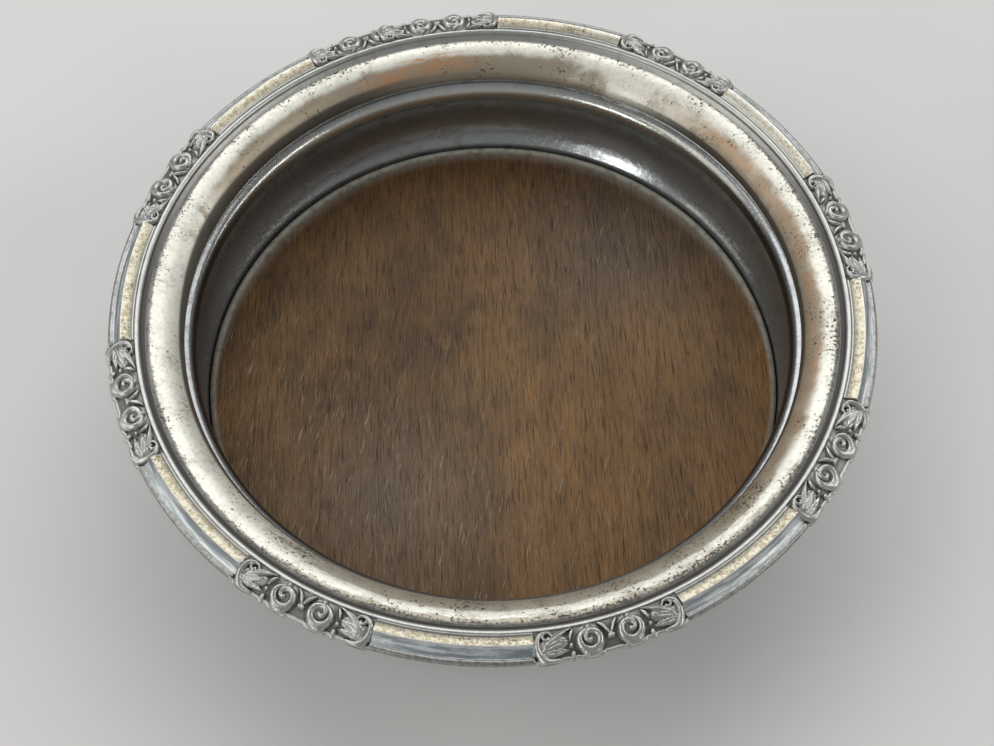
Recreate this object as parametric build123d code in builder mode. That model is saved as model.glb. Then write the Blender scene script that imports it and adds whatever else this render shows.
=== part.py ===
"""Wine bottle coaster: a spun plated wall with a struck border, on a turned wooden base.

Millimetres, +Z up, with the origin on the table under the middle of the coaster.
"""

import os
from math import degrees, radians, tan

from build123d import *

os.makedirs("parts", exist_ok=True)

# Driving dimensions
rim_diameter = 165.0
overall_height = 41.0
sheet = 0.7

# The baize, the wooden base and the foot of the wall that holds it
baize_thickness = 1.2
baize_margin = 2.6
wood_thickness = 8.6
wood_edge_radius = 2.4
wood_gap = 0.6
plug_clearance = 0.2
foot_inset = 0.9
foot_bend = 1.0
ledge_width = 9.6

# The pins that hold the base to the ledge
pin_count = 6
pin_diameter = 1.6
pin_head_diameter = 2.8
pin_head_angle = 90
pin_length = 5.5
pin_clearance = 0.05

# The mouldings inside the wall: the flange in from the border, and the rest set from its throat
flange_width = 6.4
flange_drop = 5.1
groove_width = 1.1
bead_reach = 1.3
bead_depth = 2.5
bead_width = 4.8
belly_depth = 2.9
lip_rounding = 0.5
cove_rounding = 0.6

# The struck border: its section from the inside out, then how it is divided round the rim
border_width = 8.6
border_height = 2.0
border_overlap = 1.0
border_clearance = 0.1
inner_step = 0.4
inner_cove = 1.1
fine_reed_width = 0.9
second_reed_width = 0.6
second_reed_drop = 0.2
main_reed_width = 2.1
main_reed_drop = 0.1
cavetto_top = 1.2
cavetto_depth = 0.25
outer_reed_width = 1.2
outer_reed_foot = 0.4
section_pitch = 43.4
panel_angle = 21.4
seam_angle = 121.4

# The scroll relief on one panel: places run out from its middle, and in from the rim
bed_height = 0.6
bed_cove = 0.85
relief_rise = 0.25
ridge_radius = 0.65
whirl_spacing = 8.4
whirl_inset = 3.3
whirl_radius = 2.05
whirl_start = 190
whirl_turn = -260
end_curl_radius = 1.75
end_curl_inset = 3.4
end_curl_start = -20
end_curl_turn = 220
end_margin = 2.5
leaf_tip = 0.15
leaf_width = 1.5
leaf_length = 4.8
leaf_tuck = 0.6
lobe_width = 1.1
lobe_length = 3.0
lobe_root = 1.5
lobe_spread = 1.7
lobe_fan = 8
sprig_width = 1.2
sprig_length = 4.8
sprig_tilt = 16
sprig_inset = 1.4

# Radii and heights that follow
rim_radius = rim_diameter / 2
border_inner_radius = rim_radius - border_width
throat_radius = border_inner_radius - flange_width
bead_radius = throat_radius - bead_reach
belly_radius = throat_radius + belly_depth
foot_radius = throat_radius - foot_inset
flange_edge_radius = rim_radius - border_overlap - border_clearance
seat_height = overall_height - border_height
throat_height = seat_height - flange_drop
bead_top = throat_height - groove_width
bead_middle = bead_top - bead_width / 2
bead_bottom = bead_top - bead_width
groove_radius = bead_radius + bead_depth
ledge_top = baize_thickness + sheet
ledge_radius = foot_radius - ledge_width
wood_top = baize_thickness + wood_thickness
wood_radius = foot_radius - wood_gap
belly_height = (bead_bottom + wood_top) / 2
pin_circle = ledge_radius + ledge_width / 2
pin_head_height = (pin_head_diameter - pin_diameter) / 2 / tan(radians(pin_head_angle / 2))
pin_hole_radius = pin_diameter / 2 + pin_clearance
pin_head_hole_radius = pin_head_diameter / 2 + pin_clearance
from_below = Location((0, 0, baize_thickness), (180, 0, 0))
plug_radius = ledge_radius - plug_clearance
reed_inner_radius = border_inner_radius + inner_cove
reed_outer_radius = reed_inner_radius + fine_reed_width
reed_foot = overall_height - fine_reed_width / 2
main_reed_inner = reed_outer_radius + second_reed_width
main_reed_outer = main_reed_inner + main_reed_width
outer_reed_inner = rim_radius - outer_reed_width
outer_reed_base = seat_height + outer_reed_foot
bed_level = seat_height + bed_height
bed_inner_radius = reed_outer_radius + bed_cove
plain_angle = section_pitch - panel_angle
section_count = int(360 / section_pitch)
closing_angle = 360 - section_count * section_pitch
whirl_circle = rim_radius - whirl_inset
panel_reach = radians(panel_angle) * whirl_circle / 2


def finish(piece, name):
    """Names a finished piece and writes it out."""
    piece.part.label = name
    export_step(piece.part, f"parts/{name}.step")


def radial_plane(angle):
    """The upright plane through the axis at an angle round it, x outward and y up."""
    outward = Vector(1, 0, 0).rotate(Axis.Z, angle)
    facing = Vector(0, -1, 0).rotate(Axis.Z, angle)
    return Plane(origin=(0, 0, 0), x_dir=outward, z_dir=facing)


# Side wall: one sheet, spun to shape, with a seat for the border and a ledge for the base
with BuildPart() as side_wall:
    with BuildSketch(Plane.XZ) as wall_section:
        with BuildLine() as inner_face:
            seat = Line((flange_edge_radius, seat_height), (border_inner_radius, seat_height))
            flange = TangentArc(seat @ 1, (throat_radius, throat_height), tangent=seat % 1)
            undercut = Line(flange @ 1, (groove_radius, bead_top))
            bead = ThreePointArc(undercut @ 1, (bead_radius, bead_middle), (groove_radius, bead_bottom))
            belly = ThreePointArc(bead @ 1, (belly_radius, belly_height), (foot_radius, wood_top))
            foot = Line(belly @ 1, (foot_radius, ledge_top))
            ledge = Line(foot @ 1, (ledge_radius, ledge_top))
            offset(amount=sheet, side=Side.LEFT)
        make_face()
        corners = wall_section.vertices()
        fillet(corners.sort_by_distance(flange @ 1)[0], lip_rounding)
        fillet(corners.sort_by_distance(undercut @ 1)[0], cove_rounding)
        fillet(corners.sort_by_distance(bead @ 1)[0], cove_rounding)
        fillet(corners.sort_by_distance(foot @ 1)[0], foot_bend)
    revolve(axis=Axis.Z)
    with PolarLocations(pin_circle, pin_count):
        with Locations(from_below):
            CounterSinkHole(pin_hole_radius, pin_head_hole_radius, sheet, pin_head_angle)
finish(side_wall, "side_wall")

# Wooden base: a turned disc with a rounded edge and a rebate that the ledge lies in
with BuildPart() as wooden_base:
    with BuildSketch(Plane.XZ) as base_section:
        with BuildLine():
            Polyline(
                (0, baize_thickness),
                (plug_radius, baize_thickness),
                (plug_radius, ledge_top),
                (wood_radius, ledge_top),
                (wood_radius, wood_top),
                (0, wood_top),
                close=True,
            )
        make_face()
        edge = base_section.vertices().group_by(Axis.X)[-1].sort_by(Axis.Y)
        fillet(edge[-1], wood_edge_radius)
        chamfer(edge[0], foot_bend)
    revolve(axis=Axis.Z)
    with PolarLocations(pin_circle, pin_count):
        with Locations(from_below):
            Hole(pin_hole_radius, pin_length + pin_clearance)
finish(wooden_base, "wooden_base")

# Base pins: countersunk heads flush with the ledge, shanks up into the wood
with BuildPart() as base_pins:
    with PolarLocations(pin_circle, pin_count):
        with Locations((0, 0, baize_thickness)):
            upright = (Align.CENTER, Align.CENTER, Align.MIN)
            Cylinder(pin_diameter / 2, pin_length, align=upright)
            Cone(pin_head_diameter / 2, pin_diameter / 2, pin_head_height, align=upright)
finish(base_pins, "base_pins")

# Baize pad: a felt disc under the base, a little smaller than the foot
with BuildPart() as baize_pad:
    with BuildSketch():
        Circle(foot_radius - baize_margin)
    extrude(amount=baize_thickness)
finish(baize_pad, "baize_pad")


def border_face(plane, crest):
    """The border's section on a plane, with the given arcs between its inner and outer reeds."""
    with BuildSketch(plane) as section:
        with BuildLine():
            inner_wall = Polyline(
                (border_inner_radius, seat_height),
                (border_inner_radius, seat_height + inner_step),
                (reed_inner_radius, reed_foot),
            )
            start = ThreePointArc(
                inner_wall @ 1,
                (reed_inner_radius + fine_reed_width / 2, overall_height),
                (reed_outer_radius, reed_foot),
            ) @ 1
            for middle, end in crest:
                start = ThreePointArc(start, middle, end) @ 1
            outer_reed = ThreePointArc(
                start,
                (rim_radius - outer_reed_width / 2, outer_reed_base + outer_reed_width / 2),
                (rim_radius, outer_reed_base),
            )
            Polyline(
                outer_reed @ 1,
                (rim_radius, seat_height - sheet),
                (rim_radius - border_overlap, seat_height - sheet),
                (rim_radius - border_overlap, seat_height),
                inner_wall @ 0,
            )
        make_face()
    return section.sketch


def bed_plane(along, inset, turn=0):
    """A level plane in the panel's bed: x outward, turned towards the panel's end."""
    angle = degrees(along / whirl_circle)
    origin = Vector(rim_radius - inset, 0, bed_level + relief_rise).rotate(Axis.Z, angle)
    return Plane(origin, x_dir=Vector(1, 0, 0).rotate(Axis.Z, angle + turn))


def leaf(along, inset, turn, length, width):
    """A pointed leaf, half sunk in the bed: a lens shape turned about its own midrib."""
    plane = bed_plane(along, inset, turn)
    with BuildPart() as blade:
        with BuildSketch(plane):
            with BuildLine():
                Bezier((0, leaf_tip), (length / 2, width - leaf_tip), (length, leaf_tip))
                Polyline((length, leaf_tip), (length, 0), (0, 0), (0, leaf_tip))
            make_face()
        revolve(axis=Axis(plane.origin, plane.x_dir))
    return blade.part


def scroll(along, inset, radius, start, turn, curl=None):
    """A raised scroll: an arc of round ridge, which may curl on in to a point."""
    with BuildPart() as ridge:
        with BuildLine(bed_plane(along, inset)) as path:
            outer = CenterArc((0, 0), radius, start, turn)
            if curl:
                TangentArc(outer @ 1, curl, tangent=outer % 1)
        with BuildSketch(Plane(path.line @ 0, z_dir=path.line % 0)):
            Circle(ridge_radius)
        sweep()
    return ridge.part


# The plain run of the border: fine reeds, one bold reed, a cavetto and the outer reed
second_reed = (
    (reed_outer_radius + second_reed_width / 2, overall_height - second_reed_drop),
    (main_reed_inner, reed_foot),
)
main_reed = (
    ((main_reed_inner + main_reed_outer) / 2, overall_height - main_reed_drop),
    (main_reed_outer, seat_height + cavetto_top),
)
cavetto = (
    (
        (main_reed_outer + outer_reed_inner) / 2,
        seat_height + (cavetto_top + outer_reed_foot) / 2 - cavetto_depth,
    ),
    (outer_reed_inner, outer_reed_base),
)
with BuildPart() as plain_run:
    add(border_face(radial_plane(-panel_angle / 2 - plain_angle), [second_reed, main_reed, cavetto]))
    revolve(axis=Axis.Z, revolution_arc=plain_angle)

# The scroll panel, centred on the X axis: a sunk bed, then one half of the relief, mirrored
bed_side = (
    (reed_outer_radius + bed_cove / 3, bed_level + (reed_foot - bed_level) / 3),
    (bed_inner_radius, bed_level),
)
bed = (
    ((bed_inner_radius + outer_reed_inner) / 2, bed_level),
    (outer_reed_inner, outer_reed_base),
)
whirl_end = whirl_spacing / 2 + whirl_radius + ridge_radius
whirl_eye = (-whirl_radius / 4, -whirl_radius / 8)
end_curl = panel_reach - end_margin
half_relief = [
    scroll(whirl_spacing / 2, whirl_inset, whirl_radius, whirl_start, whirl_turn, whirl_eye),
    scroll(end_curl, end_curl_inset, end_curl_radius, end_curl_start, end_curl_turn),
    leaf(sprig_width / 4, sprig_inset, 180 - sprig_tilt, sprig_length, sprig_width),
    leaf(whirl_end, sprig_inset, 180, sprig_length, sprig_width),
    leaf(end_curl + leaf_tuck, end_curl_inset, -90, leaf_length, leaf_width),
]
for side in (-1, 1):
    lobe_inset = end_curl_inset + side * lobe_spread
    lobe = leaf(end_curl - lobe_root, lobe_inset, -90 - side * lobe_fan, lobe_length, lobe_width)
    half_relief.append(lobe)
with BuildPart() as scroll_panel:
    add(border_face(radial_plane(-panel_angle / 2), [bed_side, bed]))
    revolve(axis=Axis.Z, revolution_arc=panel_angle)
    add(half_relief)
    mirror(half_relief, about=Plane.XZ)
    split(bisect_by=radial_plane(-panel_angle / 2), keep=Keep.BOTTOM)
    split(bisect_by=radial_plane(panel_angle / 2), keep=Keep.TOP)

# One struck length of border: a plain run, then a scroll panel
with BuildPart() as border_length:
    add(plain_run.part)
    add(scroll_panel.part, clean=False)

# Border sections: equal lengths, soldered end to end round the rim from the seam
for number in range(section_count):
    with BuildPart() as border_section:
        panel_middle = seam_angle + (number + 1) * section_pitch - panel_angle / 2
        add(border_length.part, rotation=(0, 0, panel_middle), clean=False)
    finish(border_section, f"border_section_{number + 1}")

# Closing section: the end of one more panel, cut to fill what is left of the ring
with BuildPart() as closing_panel:
    add(scroll_panel.part)
    split(bisect_by=radial_plane(panel_angle / 2 - closing_angle), keep=Keep.BOTTOM)
with BuildPart() as border_closing_section:
    add(closing_panel.part, rotation=(0, 0, seam_angle - panel_angle / 2), clean=False)
finish(border_closing_section, "border_closing_section")
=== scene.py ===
# %% [markdown]
# # A worn silver-plated wine coaster
# A wine coaster stands under a bottle and catches its drips. This one has a wall spun from plated
# copper, a struck border soldered round its rim and a turned wooden floor. The frame brings in the
# measured pieces, and the steps below make the finishes and then dress the pieces one by one.

# %% Load the frame
from math import cos, pi, radians, sin, sqrt

import bpy
import numpy as np
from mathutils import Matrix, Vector


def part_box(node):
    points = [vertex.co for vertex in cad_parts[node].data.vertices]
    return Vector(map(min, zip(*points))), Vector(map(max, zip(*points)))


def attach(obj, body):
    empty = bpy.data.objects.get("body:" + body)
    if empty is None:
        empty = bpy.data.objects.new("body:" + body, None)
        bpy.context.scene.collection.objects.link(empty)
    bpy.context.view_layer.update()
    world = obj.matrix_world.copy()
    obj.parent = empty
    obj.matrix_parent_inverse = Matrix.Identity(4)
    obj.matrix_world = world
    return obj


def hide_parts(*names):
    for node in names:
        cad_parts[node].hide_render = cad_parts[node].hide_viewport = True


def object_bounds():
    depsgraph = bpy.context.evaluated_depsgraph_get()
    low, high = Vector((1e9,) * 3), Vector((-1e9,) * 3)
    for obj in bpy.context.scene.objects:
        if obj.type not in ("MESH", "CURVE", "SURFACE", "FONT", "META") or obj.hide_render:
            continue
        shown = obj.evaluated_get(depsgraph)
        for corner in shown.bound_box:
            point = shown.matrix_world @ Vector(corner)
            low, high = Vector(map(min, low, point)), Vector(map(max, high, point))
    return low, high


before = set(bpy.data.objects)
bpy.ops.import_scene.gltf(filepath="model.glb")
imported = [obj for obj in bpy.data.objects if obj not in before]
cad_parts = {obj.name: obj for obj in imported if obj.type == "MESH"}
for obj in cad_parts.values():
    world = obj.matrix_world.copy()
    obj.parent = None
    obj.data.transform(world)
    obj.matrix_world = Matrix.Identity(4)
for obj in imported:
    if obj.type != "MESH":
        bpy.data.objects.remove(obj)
cad_low, cad_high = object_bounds()
MM = 0.001
BODY = "root"
print("nodes", len(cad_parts), "box", [round(v / MM, 1) for v in (*cad_low, *cad_high)])

# %% [markdown]
# ## Camera
# The eye looks down into the coaster from in front, at about sixty degrees. A camera can be set by
# its own location and rotation, but those are hard to read. A point to look at, two angles and a
# distance say the same and are easy to change one at a time, so they are the values kept here.

# %% Camera
RIM_HEIGHT = cad_high[2]
LOOK_AT = Vector((0.0002, -0.0198, RIM_HEIGHT))
EYE_ELEVATION = radians(59.9)
EYE_AZIMUTH = radians(-2.0)
EYE_DISTANCE = 0.2919
LENS = 50.7
NEAREST_SEEN = 0.01

level_share = cos(EYE_ELEVATION)
to_eye = Vector((sin(EYE_AZIMUTH) * level_share, -cos(EYE_AZIMUTH) * level_share, sin(EYE_ELEVATION)))
camera = bpy.data.objects.new("camera", bpy.data.cameras.new("camera"))
camera.data.lens = LENS
camera.data.clip_start = NEAREST_SEEN
camera.location = LOOK_AT + to_eye * EYE_DISTANCE
camera.rotation_euler = to_eye.to_track_quat("Z", "Y").to_euler()
bpy.context.scene.collection.objects.link(camera)
bpy.context.scene.camera = camera
print("camera at", [round(v / MM) for v in camera.location])

# %% [markdown]
# ## Building meshes from numbers
# The wall and the floor are turned on a lathe, and the border is struck in a die. Modifiers could
# screw a curve round an axis, but plain lists of points let each point also carry numbers for its
# finish. So one helper makes a piece from points and faces, one stores those numbers, one skins
# columns of points, and two turn a section.

# %% Pieces from points and faces
SHARP_EDGE = radians(60)


def make_piece(name, points, faces, material, replaced=()):
    """Turns points in millimetres and faces into a smooth piece that rides on the frame."""
    mesh = bpy.data.meshes.new(name)
    mesh.from_pydata((np.asarray(points) * MM).tolist(), [], faces)
    mesh.validate()
    mesh.polygons.foreach_set("use_smooth", [True] * len(mesh.polygons))
    mesh.set_sharp_from_angle(angle=SHARP_EDGE)
    mesh.materials.append(material)
    piece = bpy.data.objects.new(name, mesh)
    bpy.context.scene.collection.objects.link(piece)
    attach(piece, BODY)
    if replaced:
        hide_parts(*replaced)
    print(name, len(mesh.vertices), "points")
    return piece


def mark(piece, **layers):
    """Stores one number a point for each named layer, for a material to read."""
    for name, values in layers.items():
        stored = piece.data.attributes.new(name, "FLOAT", "POINT")
        stored.data.foreach_set("value", np.asarray(values, dtype=np.float32).ravel())


# %% Turned forms
ROUND_STEPS = 288
TURNS = np.linspace(0, 2 * pi, ROUND_STEPS, endpoint=False)


def ring_faces(columns, rows, closed_round, closed_outline=True):
    """Quads that skin columns of rows; the columns may close round, and so may each outline."""
    faces = []
    for c in range(columns if closed_round else columns - 1):
        d = (c + 1) % columns
        for r in range(rows if closed_outline else rows - 1):
            s = (r + 1) % rows
            faces.append((c * rows + r, d * rows + r, d * rows + s, c * rows + s))
    return faces


def turned(section, wave=1.0):
    """Points of a radius and height line carried round the axis, one column for each turn."""
    radii, heights = np.asarray(section, dtype=float).T
    x = np.outer(np.cos(TURNS) * wave, radii)
    y = np.outer(np.sin(TURNS) * wave, radii)
    z = np.outer(np.ones(ROUND_STEPS), heights)
    return np.stack([x, y, z], axis=-1).reshape(-1, 3)


def turned_solid(section, wave=1.0):
    """A solid turned from a line that starts on the axis below and ends on the axis above."""
    section = np.asarray(section, dtype=float)
    points = turned(section[1:-1], wave)
    rows = len(section) - 2
    faces = ring_faces(ROUND_STEPS, rows, True, False)
    low, high = len(points), len(points) + 1
    for c in range(ROUND_STEPS):
        d = (c + 1) % ROUND_STEPS
        faces += [(low, d * rows, c * rows), (high, c * rows + rows - 1, d * rows + rows - 1)]
    return np.vstack([points, [(0, 0, section[0][1]), (0, 0, section[-1][1])]]), faces


# %% Lines for a section
def arc(start, middle, end, count=24):
    """Points along the circle through three points."""
    (ax, ay), (bx, by), (cx, cy) = start, middle, end
    a, b, c = ax**2 + ay**2, bx**2 + by**2, cx**2 + cy**2
    d = 2 * (ax * (by - cy) + bx * (cy - ay) + cx * (ay - by))
    ux = (a * (by - cy) + b * (cy - ay) + c * (ay - by)) / d
    uy = (a * (cx - bx) + b * (ax - cx) + c * (bx - ax)) / d
    turns = np.unwrap([np.arctan2(y - uy, x - ux) for x, y in (start, middle, end)])
    sweep = np.linspace(turns[0], turns[2], count)
    size = sqrt((ax - ux) ** 2 + (ay - uy) ** 2)
    return np.c_[ux + size * np.cos(sweep), uy + size * np.sin(sweep)]


def even(points, gap):
    """The same line with points at an even gap along it."""
    points = np.asarray(points, dtype=float)
    run = np.r_[0, np.cumsum(np.hypot(*np.diff(points, axis=0).T))]
    at = np.linspace(0, run[-1], max(2, int(run[-1] / gap) + 1))
    return np.c_[np.interp(at, run, points[:, 0]), np.interp(at, run, points[:, 1])]


def soften(points, passes):
    """Rounds a line's corners a little, with its ends held."""
    points = points.copy()
    for _ in range(passes):
        points[1:-1] = points[1:-1] / 2 + (points[:-2] + points[2:]) / 4
    return points


# %% [markdown]
# ## Helpers for nodes
# Each finish is made of noise, masks and mixed colours, with no picture behind it. Nodes can be
# added and linked one call at a time, but then the wiring hides the idea. A few short helpers let
# each later line read as one thought, such as one colour laid over another through a mask.

# %% Putting nodes in a tree
def feed(tree, socket, value):
    """Links a socket to another node's output, or sets it to a plain value."""
    if isinstance(value, bpy.types.NodeSocket):
        tree.links.new(value, socket)
    else:
        socket.default_value = value


def put(tree, kind, inputs=None, **settings):
    """Adds a node, sets its options, and sets or links its inputs."""
    made = tree.nodes.new(kind)
    for name, value in settings.items():
        setattr(made, name, value)
    for name, value in (inputs or {}).items():
        feed(tree, made.inputs[name], value)
    return made


def calc(tree, operation, first, second):
    """One sum on numbers."""
    return put(tree, "ShaderNodeMath", {0: first, 1: second}, operation=operation).outputs[0]


def times(tree, first, second):
    """Two numbers multiplied, such as a mask and its strength."""
    return calc(tree, "MULTIPLY", first, second)


def plus(tree, first, second):
    """Two numbers added."""
    return calc(tree, "ADD", first, second)


def minus(tree, first, second):
    """One number less another."""
    return calc(tree, "SUBTRACT", first, second)


def vector(tree, operation, inputs):
    """One sum on vectors, as a node."""
    return put(tree, "ShaderNodeVectorMath", inputs, operation=operation)


# %% Masks, colours and places
def ramp(tree, value, low, high, bottom=0.0, top=1.0):
    """A smooth step from bottom to top as a value goes from low to high."""
    inputs = {"Value": value, "From Min": low, "From Max": high, "To Min": bottom, "To Max": top}
    made = put(tree, "ShaderNodeMapRange", inputs, interpolation_type="SMOOTHSTEP")
    return made.outputs["Result"]


def blend(tree, amount, first, second, mode="MIX"):
    """Two colours mixed by an amount; the mix node keeps its colours at sockets 6 and 7."""
    made = put(tree, "ShaderNodeMix", data_type="RGBA", blend_type=mode)
    for index, value in ((0, amount), (6, first), (7, second)):
        feed(tree, made.inputs[index], value)
    return made.outputs[2]


def layer(tree, name):
    """The number a piece's points carry under a name."""
    return put(tree, "ShaderNodeAttribute", attribute_name=name).outputs["Fac"]


def place(tree, scale=(1, 1, 1)):
    """Where a point is, in millimetres, stretched by a scale."""
    at = put(tree, "ShaderNodeTexCoord").outputs["Object"]
    inputs = {"Vector": at, "Scale": [v / MM for v in scale]}
    return put(tree, "ShaderNodeMapping", inputs).outputs["Vector"]


def noise(tree, at, scale, detail=4.0, rough=0.55, warp=0.0):
    """Soft cloudy noise, about 0.5 in the middle."""
    inputs = {"Vector": at, "Scale": scale, "Detail": detail, "Roughness": rough, "Distortion": warp}
    return put(tree, "ShaderNodeTexNoise", inputs).outputs["Fac"]


# %% [markdown]
# ## Node groups for wear
# Tarnish, drawn streaks and pits show up on several finishes, and the wood has scratches of two
# kinds. Each effect could be copied to wherever it is needed, but a change would then have to be
# made in every copy. A node group with named sockets is built once, and each use sets its values.

# %% Making and using groups
def new_group(name, inputs, outputs):
    """An empty shader group with named sockets, its input node and its output node."""
    group = bpy.data.node_groups.new(name, "ShaderNodeTree")
    for label, value in inputs.items():
        kind = "NodeSocketVector" if isinstance(value, tuple) else "NodeSocketFloat"
        socket = group.interface.new_socket(label, in_out="INPUT", socket_type=kind)
        socket.default_value = value
    for label in outputs:
        group.interface.new_socket(label, in_out="OUTPUT", socket_type="NodeSocketFloat")
    return group, group.nodes.new("NodeGroupInput").outputs, group.nodes.new("NodeGroupOutput").inputs


def use(tree, group, **inputs):
    """The mask of a group placed in a material, with its own values."""
    made = put(tree, "ShaderNodeGroup", node_tree=group)
    for name, value in inputs.items():
        feed(tree, made.inputs[name], value)
    return made.outputs["Mask"]


# %% [markdown]
# ### Tarnish clouds
# Silver goes brown and grey in soft clouds, where air and damp have reached it. Noise in the
# object's own space gives clouds that don't bend or stretch over curved plate. The offset lets two
# masks use the same group without the same clouds.

# %% Tarnish clouds
tarnish_clouds, given, out = new_group(
    "tarnish clouds", {"Scale": 0.1, "Low": 0.45, "High": 0.65, "Offset": (0.0, 0.0, 0.0)}, ["Mask"]
)
moved = vector(tarnish_clouds, "ADD", {0: place(tarnish_clouds), 1: given["Offset"]}).outputs[0]
cloud = noise(tarnish_clouds, moved, given["Scale"], detail=6.0, rough=0.6, warp=0.4)
tarnish_clouds.links.new(ramp(tarnish_clouds, cloud, given["Low"], given["High"]), out["Mask"])
print(tarnish_clouds.name, len(tarnish_clouds.nodes), "nodes")

# %% [markdown]
# ### Streaks that follow the rim
# A cloth rubs a round object along its rim, so plate wears in streaks that run round it. Stretched
# noise would streak one way only. Here the noise is read at a point made of the direction from the
# axis and the radius, so its streaks turn with the rim.

# %% Streaks that follow the rim
rim_streaks, given, out = new_group(
    "rim streaks", {"Along": 12.0, "Across": 1.0, "Low": 0.45, "High": 0.65}, ["Mask"]
)
flat = vector(rim_streaks, "MULTIPLY", {0: place(rim_streaks), 1: (1.0, 1.0, 0.0)}).outputs[0]
outward = vector(rim_streaks, "NORMALIZE", {0: flat}).outputs[0]
round_part = vector(rim_streaks, "SCALE", {0: outward, "Scale": given["Along"]}).outputs[0]
reach = vector(rim_streaks, "LENGTH", {0: flat}).outputs["Value"]
lift = put(rim_streaks, "ShaderNodeCombineXYZ", {"Z": times(rim_streaks, reach, given["Across"])})
read_at = vector(rim_streaks, "ADD", {0: round_part, 1: lift.outputs[0]}).outputs[0]
streak = noise(rim_streaks, read_at, 1.0, detail=5.0, rough=0.65)
rim_streaks.links.new(ramp(rim_streaks, streak, given["Low"], given["High"]), out["Mask"])
print(rim_streaks.name, len(rim_streaks.nodes), "nodes")

# %% [markdown]
# ### Pits in the plate
# Old plate has small black pits, crowded in some places and absent in others. Scattered dots would
# look alike everywhere. A fine noise cut at a high level gives the pits, and a slow noise raises it
# in patches, so that more of them get over the level there.

# %% Pits in the plate
PIT_LEVEL, PIT_EDGE, PIT_PATCHES = 0.82, 0.07, 0.12

pits, given, out = new_group("pits", {"Scale": 1.0, "Cover": 0.5}, ["Mask"])
grain = noise(pits, place(pits), given["Scale"], detail=3.0, rough=0.6)
crowding = noise(pits, place(pits), PIT_PATCHES, detail=3.0)
raised = plus(pits, grain, times(pits, crowding, given["Cover"]))
pits.links.new(ramp(pits, minus(pits, raised, PIT_LEVEL), 0.0, PIT_EDGE), out["Mask"])
print(pits.name, len(pits.nodes), "nodes")

# %% [markdown]
# ### Fine scratches
# Bottles slid over the floor leave short pale scratches, mostly one way. Each could be a thin mesh,
# but there are hundreds. Noise stretched along one direction and cut high gives short lines with
# soft ends, and a tilt turns them off the grain.

# %% Fine scratches
SCRATCH_SOFTNESS = 0.12

scratches, given, out = new_group(
    "scratches", {"Stretch": (1.0, 1.0, 1.0), "Scale": 1.0, "Cut": 0.62, "Tilt": 0.0}, ["Mask"]
)
lean = {"Vector": place(scratches), "Angle": given["Tilt"]}
leant = put(scratches, "ShaderNodeVectorRotate", lean, rotation_type="Z_AXIS").outputs[0]
stretched = vector(scratches, "MULTIPLY", {0: leant, 1: given["Stretch"]}).outputs[0]
scratch = noise(scratches, stretched, given["Scale"], detail=2.0, rough=0.7)
soft_end = plus(scratches, given["Cut"], SCRATCH_SOFTNESS)
scratches.links.new(ramp(scratches, scratch, given["Cut"], soft_end), out["Mask"])
print(scratches.name, len(scratches.nodes), "nodes")

# %% [markdown]
# ## Finishes
# Old silver plate is bright where hands and cloths rub it, brown-grey where it tarnishes, and
# orange where the plate has gone and the copper shows. A mask painted in a picture would fix these
# places, but the points of each piece can carry them as numbers instead. The groups above then
# break up their edges.

# %% Material helpers
FINE_BUMP = 0.0002


def new_material(name, **fixed):
    """A material with its principled shader; constants are set on the shader's own sockets."""
    material = bpy.data.materials.new(name)
    material.use_nodes = True
    tree = material.node_tree
    shader = tree.nodes["Principled BSDF"]
    for socket, value in fixed.items():
        shader.inputs[socket.replace("_", " ")].default_value = value
    return material, tree, shader


def dress(tree, shader, **sockets):
    """Links colours and numbers to the shader's sockets."""
    for name, value in sockets.items():
        tree.links.new(value, shader.inputs[name.replace("_", " ")])


def roughen(tree, shader, height, strength, depth=FINE_BUMP):
    """Lets a height change the way the surface faces."""
    bump = put(tree, "ShaderNodeBump", {"Height": height, "Strength": strength, "Distance": depth})
    tree.links.new(bump.outputs["Normal"], shader.inputs["Normal"])


# %% [markdown]
# ### Worn plate on the wall
# The wall is the most handled piece. Its flange is rubbed pale, tan by the lip and on the near
# side, with copper showing in streaks. The lower wall is grey under a brown film. Painted shade
# darkens the sides of the bead and belly, the turned-in lip, the flange's outer corner and the seat,
# and a painted highlight lightens the bead on the far side. One material does it all, because the
# plate is one skin: two colours are worked out, for the body and the flange, and mixed by the flange
# layer.

# %% Colours of the wall's plate
BRIGHT_PLATE = (0.86, 0.84, 0.735, 1)
TAN_PLATE = (0.41, 0.36, 0.27, 1)
SPECK_GREY = (0.33, 0.315, 0.27, 1)
GREY_PLATE = (0.40, 0.41, 0.41, 1)
BROWN_FILM = (0.165, 0.15, 0.125, 1)
CORNER_DARK = (0.12, 0.112, 0.10, 1)
CORNER_GREY = (0.25, 0.24, 0.22, 1)
BARE_COPPER = (0.58, 0.29, 0.14, 1)
LIP_TAN = (0.36, 0.30, 0.215, 1)
SHADOW_BROWN = (0.07, 0.061, 0.049, 1)
# Black for pits, and for the painted shade along the seat.
PIT_AND_SHADE_BLACK = (0.05, 0.043, 0.035, 1)

wall_plate, tree, shader = new_material("wall_plate")
flange_zone = layer(tree, "flange")
film = use(tree, tarnish_clouds, Scale=0.12, Low=0.42, High=0.68)
haze = use(tree, tarnish_clouds, Scale=0.3, Low=0.45, High=0.7, Offset=(31.0, 7.0, 3.0))
grit = use(tree, tarnish_clouds, Scale=1.1, Low=0.46, High=0.66, Offset=(5.0, 17.0, 9.0))
rub = use(tree, rim_streaks, Along=14.0, Across=1.1, Low=0.40, High=0.6)
print(wall_plate.name, "has four masks")

# %% Body of the wall
FILM_SHARE, SIDE_SHADE, BEAD_HIGHLIGHT = 0.4, 0.95, 0.5

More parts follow.
